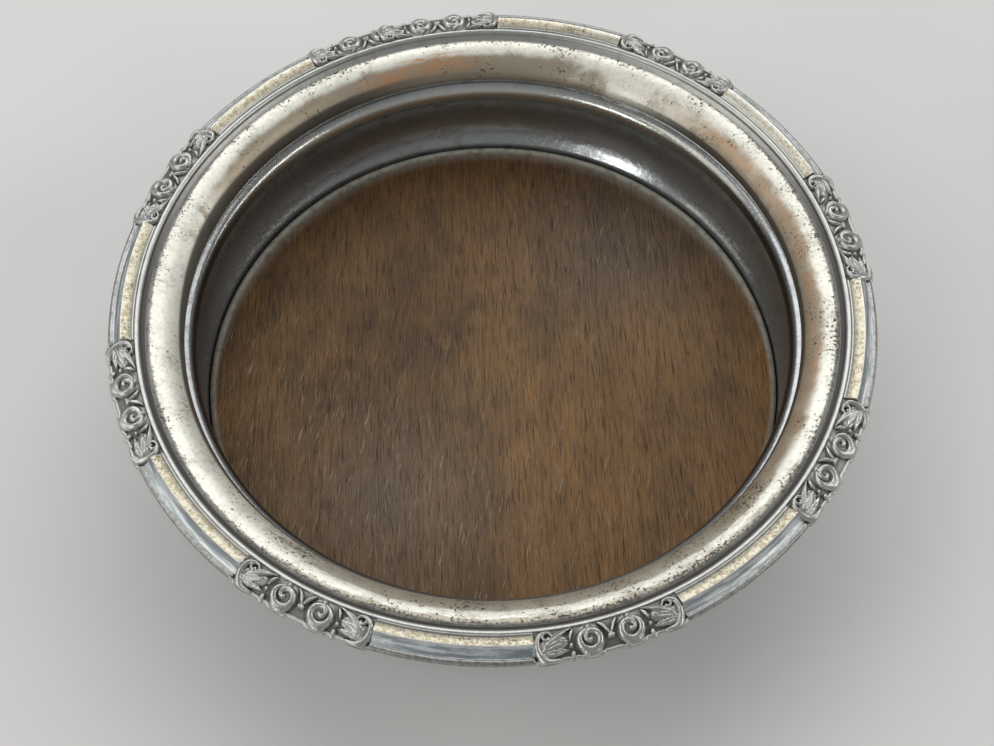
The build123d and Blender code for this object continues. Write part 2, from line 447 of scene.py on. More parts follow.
body_colour = blend(tree, times(tree, haze, FILM_SHARE), GREY_PLATE, BROWN_FILM)
# Painted shade: the bead and belly are darkened on the left and right sides.
body_colour = blend(tree, times(tree, layer(tree, "sides"), SIDE_SHADE), body_colour, SHADOW_BROWN)
# Painted highlight: the bead is lightened towards bright plate on the far side only.
body_colour = blend(tree, times(tree, layer(tree, "bead"), BEAD_HIGHLIGHT), body_colour, BRIGHT_PLATE)
print("body colour from", body_colour.node.name)

# %% Flange of the wall
NEAR_RAGGED, NEAR_TAN, FILM_TAN = 0.4, 0.85, 0.25
SPECK_BY_FILM, SPECK_BY_NEAR, SPECK_LEAST = 0.3, 0.3, 0.2
LIP_RAGGED, LIP_STAIN, TURNED_SHADE = 0.35, 0.95, 0.9

near = plus(tree, layer(tree, "near"), times(tree, rub, NEAR_RAGGED))
near = ramp(tree, near, 0.45, 0.95)
tan = plus(tree, times(tree, film, FILM_TAN), times(tree, near, NEAR_TAN))
plate = blend(tree, tan, BRIGHT_PLATE, TAN_PLATE)
mottled = plus(tree, times(tree, film, SPECK_BY_FILM), times(tree, near, SPECK_BY_NEAR))
speck = times(tree, grit, plus(tree, mottled, SPECK_LEAST))
plate = blend(tree, speck, plate, SPECK_GREY)
lip = layer(tree, "lip")
stain = ramp(tree, plus(tree, lip, times(tree, film, LIP_RAGGED)), 0.35, 0.95, 0.0, LIP_STAIN)
plate = blend(tree, times(tree, stain, ramp(tree, lip, 0.0, 0.2)), plate, LIP_TAN)
# Painted shade on the turned-in lip of the flange, less on the far side.
plate = blend(tree, times(tree, layer(tree, "turned_in"), TURNED_SHADE), plate, SHADOW_BROWN)
print("flange colour from", plate.node.name)

# %% Copper, pits and painted shade at the corner and the seat
COPPER_STREAKS, COPPER_LEAST = 0.75, 0.1
PITS_EVERYWHERE, PITS_CORNER, PITS_NEAR = 0.37, 0.15, 0.12
CORNER_RAGGED, CORNER_SHADE, SEAT_SHADE = 0.3, 0.85, 0.85

colour = blend(tree, flange_zone, body_colour, plate)
streaked = plus(tree, times(tree, rub, COPPER_STREAKS), COPPER_LEAST)
colour = blend(tree, times(tree, layer(tree, "worn"), streaked), colour, BARE_COPPER)
near_crowd = times(tree, layer(tree, "near"), PITS_NEAR)
crowd = plus(tree, times(tree, layer(tree, "corner"), PITS_CORNER), near_crowd)
hole = use(tree, pits, Scale=1.5, Cover=plus(tree, crowd, PITS_EVERYWHERE))
pitted = times(tree, hole, ramp(tree, flange_zone, 0.0, 1.0, 0.2, 0.85))
colour = blend(tree, pitted, colour, PIT_AND_SHADE_BLACK)
# Painted shade in the flange's outer corner, broken by drawn streaks; the layer keeps it light on the
# far side.
ragged = plus(tree, layer(tree, "edge"), times(tree, grit, CORNER_RAGGED))
ragged = ramp(tree, ragged, 0.45, 0.8)
drawn = use(tree, rim_streaks, Along=7.0, Across=2.2, Low=0.40, High=0.62)
corner_shade_colour = blend(tree, drawn, CORNER_DARK, CORNER_GREY)
colour = blend(tree, times(tree, ragged, CORNER_SHADE), colour, corner_shade_colour)
# Painted shade along the seat, where the flange meets the border.
colour = blend(tree, times(tree, layer(tree, "seat"), SEAT_SHADE), colour, PIT_AND_SHADE_BLACK)
print("wall colour from", colour.node.name)

# %% Gloss of the wall
BODY_GLOSS, FLANGE_GLOSS, HAZE_GLOSS, PIT_GLOSS = 0.19, 0.42, 0.10, 0.3
BODY_METAL, FLANGE_METAL = 0.9, 0.5
PIT_DENT, SPECK_DENT = 0.8, 0.5

gloss = ramp(tree, flange_zone, 0.0, 1.0, BODY_GLOSS, FLANGE_GLOSS)
gloss = plus(tree, times(tree, haze, HAZE_GLOSS), gloss)
gloss = plus(tree, gloss, times(tree, pitted, PIT_GLOSS))
metal = ramp(tree, flange_zone, 0.0, 1.0, BODY_METAL, FLANGE_METAL)
dents = plus(tree, times(tree, pitted, PIT_DENT), times(tree, speck, SPECK_DENT))
uneven = minus(tree, noise(tree, place(tree), 0.35, detail=5.0), dents)
dress(tree, shader, Base_Color=colour, Roughness=gloss, Metallic=metal)
roughen(tree, shader, uneven, 0.35)
print(wall_plate.name, len(tree.nodes), "nodes")

# %% [markdown]
# ### Struck plate on the border
# Struck ornament is dark in its hollows and rubbed pale on its crests. Ambient occlusion could find
# the hollows, but it traces extra rays in every render. The border's own heights give each point a
# number for how far it stands above its neighbours, and the dark that this puts in the hollows is
# tarnish and painted shade together; the sunk bed of a panel gets more painted shade. More layers
# mark the tube's inner side, painted in shade except on the far side, and, on the plain runs, the
# bold reed, the hollow and the edge reed.

# %% Colours of the border's plate
SCROLL_GREY = (0.49, 0.49, 0.46, 1)
CREST_PALE = (0.74, 0.74, 0.70, 1)
RECESS_DARK = (0.115, 0.113, 0.104, 1)
# Tarnish on the edge reed, and painted shade on the tube's inner side.
REED_TARNISH_AND_SHADE = (0.17, 0.163, 0.152, 1)
CREAM_REED = (0.75, 0.695, 0.55, 1)
GOLD_REED = (0.50, 0.43, 0.285, 1)
BLUE_FILM = (0.33, 0.365, 0.375, 1)
PALE_STREAK = (0.72, 0.75, 0.76, 1)
CLOUD_SHARE, TUBE_SHADE, HOLLOW_FILM = 0.2, 0.95, 0.9

border_plate, tree, shader = new_material("border_plate")
relief = layer(tree, "relief")
cream = layer(tree, "cream")
cloud = use(tree, tarnish_clouds, Scale=0.3, Low=0.42, High=0.7)
fleck = use(tree, tarnish_clouds, Scale=1.2, Low=0.45, High=0.6, Offset=(9.0, 2.0, 40.0))
drawn = use(tree, rim_streaks, Along=9.0, Across=1.6, Low=0.44, High=0.6)
# Tarnish and painted shade darken the hollows; rubbed crests go pale.
colour = blend(tree, ramp(tree, relief, 0.12, 0.5), RECESS_DARK, SCROLL_GREY)
colour = blend(tree, ramp(tree, relief, 0.58, 1.0), colour, CREST_PALE)
colour = blend(tree, times(tree, cloud, CLOUD_SHARE), colour, BROWN_FILM)
# Painted shade on the tube's inner side, weak on the far side.
colour = blend(tree, times(tree, layer(tree, "tube_side"), TUBE_SHADE), colour, REED_TARNISH_AND_SHADE)
colour = blend(tree, cream, colour, blend(tree, fleck, CREAM_REED, GOLD_REED))
hollow_colour = blend(tree, drawn, BLUE_FILM, PALE_STREAK)
colour = blend(tree, times(tree, layer(tree, "cavetto"), HOLLOW_FILM), colour, hollow_colour)
print("border colour from", colour.node.name)

# %% Rim, pits and gloss of the border
RIM_SHADE, RIM_FLECK = 0.3, 0.5
LOW_GLOSS, CREST_GLOSS, CREAM_GLOSS = 0.46, 0.31, 0.10
BORDER_METAL, CREAM_METAL = 0.95, 0.6

rim_reed = layer(tree, "rim")
colour = blend(tree, times(tree, rim_reed, RIM_SHADE), colour, REED_TARNISH_AND_SHADE)
colour = blend(tree, times(tree, rim_reed, times(tree, fleck, RIM_FLECK)), colour, RECESS_DARK)
hole = use(tree, pits, Scale=1.9, Cover=0.5)
pitted = times(tree, hole, ramp(tree, cream, 0.0, 1.0, 0.12, 0.55))
colour = blend(tree, pitted, colour, PIT_AND_SHADE_BLACK)
gloss = ramp(tree, relief, 0.2, 0.8, LOW_GLOSS, CREST_GLOSS)
gloss = plus(tree, times(tree, cream, CREAM_GLOSS), gloss)
metal = ramp(tree, cream, 0.0, 1.0, BORDER_METAL, CREAM_METAL)
uneven = minus(tree, noise(tree, place(tree), 0.8, detail=4.0), times(tree, pitted, PIT_DENT))
dress(tree, shader, Base_Color=colour, Roughness=gloss, Metallic=metal)
roughen(tree, shader, uneven, 0.25)
print(border_plate.name, len(tree.nodes), "nodes")

# %% [markdown]
# ### Dark wood
# The floor is old mahogany, waxed, with fine dark pores along the grain and pale scratches. The
# grain could be cut into the mesh, but it is finer than any sensible mesh. Noise stretched along
# one axis gives pores and strands, and layers on the points say where the wood is worn or bleached.

# %% Grain of the wood
WOOD_DARK = (0.086, 0.052, 0.026, 1)
WOOD_WARM = (0.225, 0.120, 0.046, 1)
WOOD_PORE = (0.022, 0.014, 0.009, 1)
WOOD_BLOOM = (0.15, 0.12, 0.088, 1)
PORES, STRANDS, BOARD = (3.2, 0.16, 1.0), (1.1, 0.05, 1.0), (1.0, 0.5, 1.0)
BLOOM_SHARE = 0.6

base_wood, tree, shader = new_material("base_wood", Specular_IOR_Level=0.15)
pore = noise(tree, place(tree, PORES), 1.0, detail=5.0, rough=0.7)
strand = noise(tree, place(tree, STRANDS), 1.0, detail=3.0, rough=0.6)
mottle = noise(tree, place(tree, BOARD), 0.05, detail=6.0, rough=0.7)
colour = blend(tree, ramp(tree, mottle, 0.3, 0.7), WOOD_DARK, WOOD_WARM)
colour = blend(tree, times(tree, layer(tree, "bloom"), BLOOM_SHARE), colour, WOOD_BLOOM)
colour = blend(tree, ramp(tree, strand, 0.45, 0.75, 0.0, 0.6), colour, WOOD_DARK)
colour = blend(tree, ramp(tree, pore, 0.47, 0.7, 0.0, 0.85), colour, WOOD_PORE)
colour = blend(tree, 1.0, colour, layer(tree, "tone"), "MULTIPLY")
print("grain colour from", colour.node.name)

# %% Scratches and the pale edge of the wood
SCRATCH_PALE = (0.36, 0.29, 0.21, 1)
RING_PALE = (0.66, 0.65, 0.56, 1)
SCORED_SHARE, GRAZED_SHARE, GRAZED_RUBBED, GRAZED_LEAST = 0.8, 0.6, 0.5, 0.2

rubbed = layer(tree, "rubbed")
scored = use(tree, scratches, Stretch=(2.2, 0.13, 1.0), Scale=1.0, Cut=0.62, Tilt=0.24)
scored = times(tree, scored, rubbed)
grazed = use(tree, scratches, Stretch=(3.4, 0.2, 1.0), Scale=1.0, Cut=0.60, Tilt=-0.1)
grazed = times(tree, grazed, plus(tree, times(tree, rubbed, GRAZED_RUBBED), GRAZED_LEAST))
colour = blend(tree, times(tree, scored, SCORED_SHARE), colour, SCRATCH_PALE)
colour = blend(tree, times(tree, grazed, GRAZED_SHARE), colour, SCRATCH_PALE)
crust = use(tree, tarnish_clouds, Scale=0.5, Low=0.3, High=0.6, Offset=(3.0, 8.0, 1.0))
crust = times(tree, layer(tree, "residue"), ramp(tree, crust, 0.0, 1.0, 0.6, 1.0))
colour = blend(tree, crust, colour, RING_PALE)
dress(tree, shader, Base_Color=colour, Roughness=ramp(tree, pore, 0.3, 0.8, 0.42, 0.6))
roughen(tree, shader, minus(tree, pore, scored), 0.2)
print(base_wood.name, len(tree.nodes), "nodes")

# %% [markdown]
# ### Baize and brass
# The baize is a matt woollen felt and the pins are dull brass. Both are out of sight from above, so
# they stay simple: a nap of noise with a little sheen, and brass under a film. The pins keep their
# measured mesh, which is as fine as they need.

# %% Green baize
BAIZE_DEEP, BAIZE_LIGHT = (0.012, 0.05, 0.022, 1), (0.035, 0.12, 0.055, 1)
NAP_DEPTH = 0.0004

baize, tree, shader = new_material("baize_felt", Roughness=0.95, Sheen_Weight=0.4)
nap = noise(tree, place(tree), 2.2, detail=5.0, rough=0.7)
dress(tree, shader, Base_Color=blend(tree, ramp(tree, nap, 0.3, 0.7), BAIZE_DEEP, BAIZE_LIGHT))
roughen(tree, shader, nap, 0.6, NAP_DEPTH)
print(baize.name, len(tree.nodes), "nodes")

# %% Brass pins
BRASS, BRASS_FILM = (0.62, 0.44, 0.18, 1), (0.20, 0.13, 0.06, 1)

pin_brass, tree, shader = new_material("pin_brass", Metallic=1.0)
film = use(tree, tarnish_clouds, Scale=0.8, Low=0.4, High=0.7)
colour = blend(tree, film, BRASS, BRASS_FILM)
dress(tree, shader, Base_Color=colour, Roughness=ramp(tree, film, 0.0, 1.0, 0.3, 0.55))
pin_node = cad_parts["base_pins"]
pin_node.data.materials.clear()
pin_node.data.materials.append(pin_brass)
print("materials", [m.name for m in bpy.data.materials if m.users])

# %% [markdown]
# ## The side wall
# The wall is one sheet spun over a former. Its inside runs from the border's seat over a rounded
# flange, into a groove, round a bead and down a belly to the ledge that holds the wood. A lathe form
# needs only its section, so the inner line is drawn with arcs, the outer line lies one sheet outside
# it, and both are carried round.

# %% Sizes of the wall
RIM_RADIUS = 82.5
RIM_TOP = RIM_HEIGHT / MM
BORDER_WIDTH, BORDER_HEIGHT = 7.9, 2.75
SEAT_DROP = 1.5
SHEET = 0.7
BORDER_INNER = RIM_RADIUS - BORDER_WIDTH
SEAT = RIM_TOP - SEAT_DROP
FLANGE_EDGE = 81.4
THROAT, THROAT_HEIGHT = 67.3, RIM_TOP - 7.3
GROOVE, BEAD, BEAD_TOP, BEAD_WIDTH = 68.4, 65.5, THROAT_HEIGHT - 1.1, 5.2
BEAD_BOTTOM = BEAD_TOP - BEAD_WIDTH
BELLY, FOOT, LEDGE = 70.4, 66.6, 57.0
WOOD_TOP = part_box("wooden_base")[1][2] / MM
LEDGE_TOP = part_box("baize_pad")[1][2] / MM + SHEET
print("seat", round(SEAT, 2), "throat", round(THROAT_HEIGHT, 2), "floor", round(WOOD_TOP, 2))

# %% Section of the wall
INNER_GAP, OUTER_GAP = 0.35, 0.5
CLEAR_SHARE = 0.97

fall = SEAT - THROAT_HEIGHT
flange_width = BORDER_INNER - THROAT
flange_size = (flange_width**2 + fall**2) / (2 * fall)
flange_turn = np.linspace(0, np.arcsin(flange_width / flange_size), 40)
flange_radii = BORDER_INNER - flange_size * np.sin(flange_turn)
flange = np.c_[flange_radii, SEAT - flange_size * (1 - np.cos(flange_turn))]
bead = arc((GROOVE, BEAD_TOP), (BEAD, BEAD_TOP - BEAD_WIDTH / 2), (GROOVE, BEAD_BOTTOM), 32)
belly = arc((GROOVE, BEAD_BOTTOM), (BELLY, (BEAD_BOTTOM + WOOD_TOP) / 2), (FOOT, WOOD_TOP), 40)
ledge = [(FOOT, LEDGE_TOP), (LEDGE, LEDGE_TOP)]
inner = soften(even(np.vstack([[(FLANGE_EDGE, SEAT)], flange, bead, belly, ledge]), INNER_GAP), 3)
slope = np.gradient(inner, axis=0)
normal = np.c_[-slope[:, 1], slope[:, 0]] / np.hypot(*slope.T)[:, None]
outer = inner + normal * SHEET
clear = np.array([np.hypot(*(inner - p).T).min() > SHEET * CLEAR_SHARE for p in outer])
outer = soften(even(outer[clear], OUTER_GAP), 2)
wall_section = np.vstack([inner, outer[::-1]])
print("wall section", len(inner), "points inside,", len(outer), "outside")

# %% Turn the wall
wall_faces = ring_faces(ROUND_STEPS, len(wall_section), True)
side_wall = make_piece(
    "side_wall_spun", turned(wall_section), wall_faces, wall_plate, ["side_wall"]
)

# %% [markdown]
# ### Where the wall is bright and where the plate has worn through
# Wear follows the form: the flange is rubbed and its lip is stained. Painted shade darkens the
# flange's outer corner, the seat under the border, the turned-in lip and the sides of the bead and
# belly, and a painted highlight lightens the bead on the far side. All of it differs round the rim.
# Each layer is therefore made of bands across the section and stretches round the axis, where 0
# degrees is the right and 90 the far side. Two smooth steps make a band, and places on the flange
# are shares of its width, from the throat outward.

# %% Bands and stretches
def step(values, low, high):
    """Nought below low, one above high, and smooth between."""
    t = np.clip((values - low) / (high - low), 0, 1)
    return t * t * (3 - 2 * t)


def band(values, low, full, fade, end):
    """One between full and fade, falling smoothly to nought at low and at end."""
    return step(values, low, full) * (1 - step(values, fade, end))


def facing(angles, middle, reach):
    """One where an angle is near a middle, fading out over a reach; those two are in degrees."""
    away = np.abs((np.degrees(angles) - middle + 180) % 360 - 180)
    return 1 - step(away, reach * 0.4, reach)


# %% Bands across the wall
radius, level = wall_section[:, 0], wall_section[:, 1]
inside = np.arange(len(wall_section)) < len(inner)
across_flange = (radius - THROAT) / flange_width
flange_band = inside * step(level, THROAT_HEIGHT - 0.6, THROAT_HEIGHT + 0.3)
lip_band = flange_band * (1 - step(across_flange, 0.32, 0.76))
corner_band = flange_band * step(across_flange, 0.65, 0.98)
edge_band = flange_band * step(across_flange, 0.78, 0.98)
seat_band = inside * step(radius, BORDER_INNER - 0.4, BORDER_INNER - 0.05)
bead_band = inside * band(level, BEAD_BOTTOM, BEAD_BOTTOM + 1, BEAD_TOP - 1, BEAD_TOP)
body_band = inside * (level > WOOD_TOP - 1) * (1 - flange_band)
near_band = flange_band * (1 - 0.75 * band(across_flange, 0.46, 0.6, 0.7, 0.88))
low_copper = flange_band * band(across_flange, 0.1, 0.2, 0.36, 0.5)
high_copper = flange_band * band(across_flange, 0.40, 0.48, 0.60, 0.68)
right_copper = flange_band * band(across_flange, 0.1, 0.22, 0.42, 0.6)
print("flange points in a section", int((flange_band > 0.5).sum()))

# %% Layers of the wall
everywhere = np.ones(ROUND_STEPS)
far_side = facing(TURNS, 90, 75)
# Painted shade on the bead and belly at the left and right sides, stronger on the bead.
left_shade = np.outer(facing(TURNS, 185, 95), np.maximum(bead_band, 0.4 * body_band))
right_shade = np.outer(facing(TURNS, 5, 85), np.maximum(bead_band, 0.15 * body_band))
# Painted shade over the turned-in lip; its width changes round the rim.
turn_width = 0.06 + 0.05 * facing(TURNS, 15, 75) + 0.12 * facing(TURNS, 132, 55)
turn_width = (turn_width + 0.08 * facing(TURNS, 190, 60))[:, None]
turned_in = 1 - step(across_flange, 0.75 * turn_width, 1.05 * turn_width)
stained = np.maximum(facing(TURNS, 112, 66), 0.8 * facing(TURNS, 0, 80))
worn = 0.85 * np.outer(facing(TURNS, 103, 17), low_copper)
worn = np.maximum(worn, 1.1 * np.outer(facing(TURNS, 100, 8), high_copper))
worn = np.maximum(worn, 0.48 * np.outer(facing(TURNS, 8, 62), right_copper))
mark(
    side_wall,
    flange=np.outer(everywhere, flange_band),
    corner=np.outer(everywhere, corner_band),
    # Painted shade in the flange's outer corner, weak on the far side.
    edge=np.outer(1 - 0.9 * far_side, edge_band),
    # Painted shade along the seat under the border.
    seat=np.outer(everywhere, seat_band),
    # Painted highlight on the bead, on the far side only.
    bead=np.outer(far_side, bead_band),
    # Painted shade on the sides of the bead and belly.
    sides=np.maximum(left_shade, right_shade),
    # Painted shade on the turned-in lip, less on the far side.
    turned_in=turned_in * flange_band * (1 - 0.8 * facing(TURNS, 82, 40))[:, None],
    lip=np.outer(stained, lip_band),
    worn=worn,
    near=np.outer(facing(TURNS, 279, 66), near_band),
)
print("wall layers", len(side_wall.data.attributes), "copper points", int((worn > 0.3).sum()))

# %% [markdown]
# ## The wooden floor
# A turned disc with a rounded edge, let into the ring of the ledge. It could be a cylinder with a
# bevel, but the same turning helper gives rings of points for its layers. Its character comes from
# the grain, the scratches that bottles leave, and the pale polish caught round its edge.

# %% Turn the wooden base
WOOD_RADIUS, WOOD_EDGE, PLUG, REBATE_CHAMFER = 66.4, 1.8, 56.8, 1.0
WOOD_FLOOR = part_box("wooden_base")[0][2] / MM
WOOD_FLAT = WOOD_RADIUS - WOOD_EDGE
EDGE_RINGS, INNER_RINGS = 16, 40

half = WOOD_EDGE * sqrt(0.5)
edge_middle = (WOOD_FLAT + half, WOOD_TOP - WOOD_EDGE + half)
round_edge = arc((WOOD_FLAT, WOOD_TOP), edge_middle, (WOOD_RADIUS, WOOD_TOP - WOOD_EDGE), 12)
edge_radii = np.linspace(WOOD_FLAT, WOOD_FLAT - 5, EDGE_RINGS)
top_radii = np.r_[edge_radii, np.linspace(WOOD_FLAT - 6, 0, INNER_RINGS)]
top = np.c_[top_radii, np.full(len(top_radii), WOOD_TOP)]
plug = [(0, WOOD_FLOOR), (PLUG, WOOD_FLOOR), (PLUG, LEDGE_TOP)]
rebate = [(WOOD_RADIUS - REBATE_CHAMFER, LEDGE_TOP), (WOOD_RADIUS, LEDGE_TOP + REBATE_CHAMFER)]
points, faces = turned_solid(np.vstack([plug, rebate, round_edge[:0:-1], top]))
wooden_base = make_piece("wooden_base_turned", points, faces, base_wood, ["wooden_base"])

# %% Layers of the wood
wood_x, wood_y, wood_z = points.T
wood_radius = np.hypot(wood_x, wood_y)


def patch(x, y, reach):
    """One at a place on the floor, fading out over a reach, in millimetres."""
    return np.exp(-((wood_x - x) ** 2 + (wood_y - y) ** 2) / reach**2)


lighter = 0.30 * patch(4, 2, 20) + 0.16 * patch(10, -40, 30) + 0.1 * patch(45, 0, 20)
lighter = lighter + 0.14 * patch(-26, -30, 24)
darker = 0.22 * patch(-40, 12, 30) + 0.26 * patch(2, 46, 26)
far_edge = facing(np.arctan2(wood_y, wood_x), 90, 110)
ring_start = WOOD_FLAT + 0.6 - 4.6 * far_edge
ring_tail = step(wood_radius, ring_start, ring_start + 0.4 + 4.0 * far_edge)
ring_line = step(wood_radius, WOOD_FLAT - 1.2 * far_edge, WOOD_FLAT + 0.6)
ring = (0.35 * ring_tail + 0.65 * ring_line) * (0.4 + 0.6 * far_edge)
mark(
    wooden_base,
    residue=ring * (wood_z > WOOD_TOP - WOOD_EDGE),
    rubbed=0.15 + 0.85 * step(-wood_y - 0.5 * wood_x, -20, 45) + 0.5 * patch(34, 34, 26),
    bloom=patch(34, 34, 24) + patch(-22, -34, 24),
    tone=1.0 + lighter - darker,
)
print("wood layers", len(wooden_base.data.attributes))

# %% [markdown]
# ## The struck border
# Each length of border was struck in a die: reeds on the plain run, and scrolls in low relief on
# the panel. Sculpting would lose the repeats, and a displaced plane would need a picture. A height
# for every point of a fine grid gives both, with the scrolls drawn as strokes that have a width and
# a height along them, the way a die sinker cuts them.

# %% Strokes of relief
def through(points, count=48):
    """A smooth line through a few rows of numbers."""
    points = np.asarray(points, dtype=float)
    padded = np.vstack([2 * points[0] - points[1], points, 2 * points[-1] - points[-2]])
    rows = []
    for t in np.linspace(0, len(points) - 1.0001, count):
        k, f = int(t), t % 1
        a, b, c, d = padded[k : k + 4]
        square, cube = (2 * a - 5 * b + 4 * c - d) * f**2, (3 * b - a - 3 * c + d) * f**3
        rows.append(0.5 * (2 * b + (c - a) * f + square + cube))
    return np.array(rows)


def stroke(x, y, route):
    """The height of a rounded ridge at each point; a route has rows of x, y, half width and height."""
    height = np.zeros_like(x)
    for px, py, width, tall in through(route):
        away = ((x - px) ** 2 + (y - py) ** 2) / max(width, 0.05) ** 2
        height = np.maximum(height, tall * np.sqrt(np.clip(1 - away, 0, 1)))
    return height


def spiral(middle, start, turn, radii, widths, heights, count=14):
    """A route that winds about a middle, with its radius, width and height changing on the way."""
    t = np.linspace(0, 1, count)
    at = np.linspace(0, 1, len(radii))
    size, wide, tall = (np.interp(t, at, v) for v in (radii, widths, heights))
    angle = np.radians(start + turn * t)
    return np.c_[middle[0] + size * np.cos(angle), middle[1] + size * np.sin(angle), wide, tall]


def bead_at(x, y, width, tall):
    """A route of one place: a round bead or a shallow dome."""
    return [(x, y, width, tall), (x + 0.05, y, width, tall)]


# %% [markdown]
# ### The scroll panel
# A panel has a pair of whirls with small sprigs between them, and a leaf that curls back at each
# end. It is the same on both sides of its middle, so only one half is drawn. A row gives how far
# along from the middle, how far across from the inner edge, the stroke's half width and its height,
# in millimetres. The heights are scaled down together when a panel is made.

# %% Whirls, sprigs and leaves
WHIRL = (4.0, 4.95)
WHIRL_RADII = (1.9, 2.1, 2.15, 2.05, 1.75, 1.3, 0.85, 0.5, 0.2)
WHIRL_WIDTHS = (0.35, 0.75, 0.9, 0.85, 0.75, 0.65, 0.6, 0.5, 0.4)
WHIRL_HEIGHTS = (0.9, 1.5, 1.6, 1.55, 1.5, 1.45, 1.45, 1.5, 1.5)
WHIRL_ROUTES = [
    bead_at(*WHIRL, 2.9, 0.5),
    spiral(WHIRL, -70, 560, WHIRL_RADII, WHIRL_WIDTHS, WHIRL_HEIGHTS, 36),
    bead_at(4.0, 2.75, 0.6, 1.45),
]
SPRIG_ROUTES = [
    [(0.15, 4.9, 0.2, 0.9), (0.55, 4.0, 0.4, 1.1), (1.1, 3.1, 0.4, 1.1), (1.9, 2.4, 0.2, 0.8)],
    bead_at(0.3, 5.3, 0.45, 1.2),
    bead_at(7.75, 5.5, 0.4, 1.1),
    bead_at(7.6, 7.0, 0.5, 1.25),
    [(7.0, 2.6, 0.2, 0.8), (7.6, 3.5, 0.4, 1.1), (7.9, 4.6, 0.15, 0.8)],
]
LEAF_ROUTES = [
    [(12.6, 5.4, 1.6, 0.7), (11.0, 5.0, 1.7, 0.75), (9.4, 4.6, 1.2, 0.6)],
    [(7.3, 2.35, 0.15, 0.8), (8.6, 2.75, 0.4, 1.1), (10.2, 3.4, 0.75, 1.3), (12.6, 5.2, 0.6, 1.1)],
    [(8.3, 4.6, 0.15, 0.8), (9.5, 4.7, 0.55, 1.2), (11.2, 5.3, 0.85, 1.35), (13.0, 6.0, 0.5, 1.0)],
    [(8.5, 6.2, 0.15, 0.8), (9.8, 6.3, 0.5, 1.15), (11.4, 6.5, 0.7, 1.25), (13.0, 6.6, 0.4, 1.0)],
    spiral((12.2, 3.5), 200, 330, (1.0, 0.75, 0.25), (0.35, 0.38, 0.3), (1.2, 1.3, 1.2)),
    [(11.6, 2.6, 0.3, 1.15), (12.9, 2.7, 0.5, 1.35), (13.95, 3.6, 0.65, 1.45), (14.2, 5.2, 0.7, 1.5)],
    [(14.2, 5.2, 0.7, 1.5), (13.7, 6.7, 0.75, 1.5), (12.3, 7.6, 0.65, 1.4), (10.2, 7.5, 0.25, 0.9)],
]
VEIN_ROUTES = [
    [(12.2, 4.6, 0.12, 0.25), (10.4, 3.4, 0.2, 0.4), (8.6, 2.8, 0.1, 0.15)],
    [(12.4, 5.7, 0.12, 0.25), (10.9, 5.15, 0.25, 0.45), (9.0, 4.65, 0.1, 0.15)],
    [(12.4, 6.55, 0.12, 0.25), (10.9, 6.45, 0.2, 0.4), (9.2, 6.25, 0.1, 0.15)],
]
SCROLL_ROUTES = WHIRL_ROUTES + SPRIG_ROUTES + LEAF_ROUTES
print("strokes in half a panel", len(SCROLL_ROUTES), "and veins", len(VEIN_ROUTES))

# %% [markdown]
# ### Lines across the border
# From its inner edge outward the plain run has a round tube, a thin reed, a bold reed, a hollow and
# an edge reed. The panel keeps the tube, and has a sunk bed for the scrolls. Each is one line of
# places and heights, made mostly of arcs, so one reed's arc can be changed by itself.

# %% Lines across the border
TUBE_OUT, THIN_OUT, BOLD_IN, BOLD_OUT, EDGE_IN = 2.0, 2.64, 2.8, 4.8, 6.7
BOLD_FOOT, EDGE_FOOT, EDGE_OUT = 1.95, 0.7, 0.15


def height_line(u, *curves):
    """Heights at places across the border, from curves given as rows of place and height."""
    joined = np.vstack(curves)
    return np.interp(u, joined[:, 0], joined[:, 1])


tube_side = np.array([(0.1, 0.05), (0.35, 0.28), (0.65, 0.55), (0.9, 0.8)])
tube_crest = arc((0.9, 0.8), (1.25, 1.52), (TUBE_OUT, 1.74), 14)
tube = np.vstack([[(0, 0)], tube_side, tube_crest])
thin_reed = arc((2.16, 1.6), (2.4, 2.0), (THIN_OUT, 1.78), 12)
bold_reed = arc((BOLD_IN, BOLD_FOOT), (3.8, 2.58), (BOLD_OUT, BORDER_HEIGHT))
cavetto = arc((BOLD_OUT + 0.1, BORDER_HEIGHT - 0.1), (5.55, 1.45), (EDGE_IN, EDGE_FOOT))
edge_reed = arc((EDGE_IN, EDGE_FOOT), (7.25, 0.9), (BORDER_WIDTH, EDGE_OUT))
bed = np.array([(2.2, 1.5), (3.2, 1.5), (4.3, 1.4), (5.4, 1.15), (6.4, 0.75), (7.1, 0.4)])
rim_line = arc((7.2, 0.4), (7.6, 0.55), (BORDER_WIDTH, EDGE_OUT), 8)

even_places = np.linspace(0, BORDER_WIDTH, 52)
across = np.unique(np.r_[even_places, np.linspace(0.8, 3.0, 26), np.linspace(7.0, 7.9, 10)])
plain_line = height_line(across, tube, thin_reed, bold_reed, cavetto, edge_reed)
bed_line = height_line(across, tube, bed, [(BORDER_WIDTH, EDGE_OUT)])
rim_rise = height_line(across, tube, bed, rim_line) - bed_line
print("places across", len(across), "crest", round(plain_line.max(), 2))

# %% Heights on a panel
RELIEF_SCALE, VEIN_ABOVE, RIM_FADE = 0.78, 0.3, 0.4
SHADE_PASSES, SHADE_DEPTH = 20, 1.2


def panel_heights(x):
    """Heights and relief on the scroll panel, for places along it from its middle."""
    u, s = np.meshgrid(across, np.abs(x))
    relief = np.zeros_like(u)
    for route in SCROLL_ROUTES:
        relief = np.maximum(relief, stroke(s, u, route))
    for route in VEIN_ROUTES:
        relief = relief - stroke(s, u, route) * (relief > VEIN_ABOVE)
    relief = np.clip(relief, 0, None)
    return bed_line + relief * RELIEF_SCALE + rim_rise * np.clip(1 - relief / RIM_FADE, 0, 1), relief


